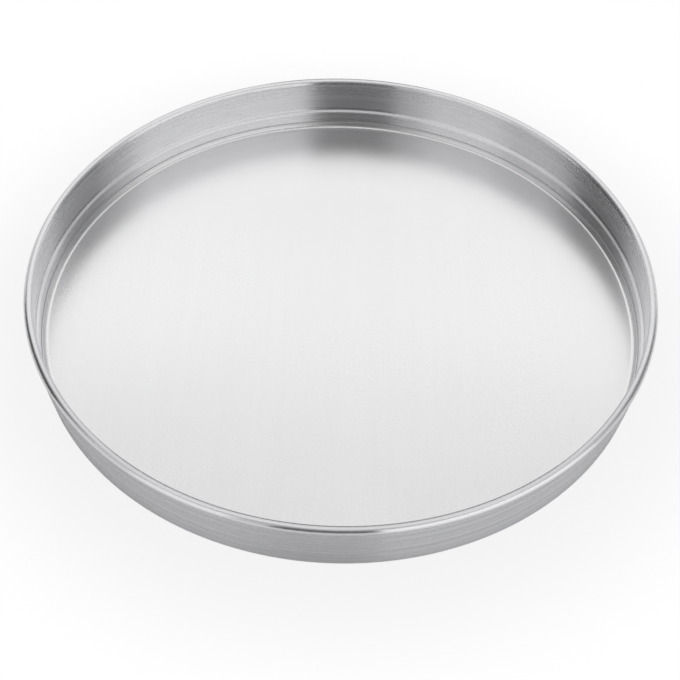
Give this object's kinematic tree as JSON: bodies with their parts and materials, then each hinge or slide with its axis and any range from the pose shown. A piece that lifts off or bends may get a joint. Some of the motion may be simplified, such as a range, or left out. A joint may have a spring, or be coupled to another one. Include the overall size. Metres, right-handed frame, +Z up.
{
  "type": "round cake pan",
  "caption": "Shallow straight-sided round cake pan with a rolled rim, a stacking shoulder in the wall and a loose base that lifts out.",
  "frame": {"origin": "on the pan's axis, on the surface that the pan stands on", "axes": "+Z up along the pan's axis, out of its open mouth; X and Y lie in the plane of the base"},
  "size_m": [0.35, 0.35, 0.0357],
  "materials": {
    "spun_aluminium": "spun and lightly polished, with fine lines round the pan",
    "satin_aluminium": "satin rolled sheet",
    "steel_wire": "drawn wire"
  },
  "bodies": {
    "ring": {"side_wall": "spun_aluminium", "rim_wire": "steel_wire"},
    "base": {"loose_base": "satin_aluminium"}
  },
  "joints": [
    {"name": "base_lift", "type": "slide", "parent": "ring", "child": "base", "axis": [0, 0, 1], "range_m": [0, 0.06]}
  ]
}
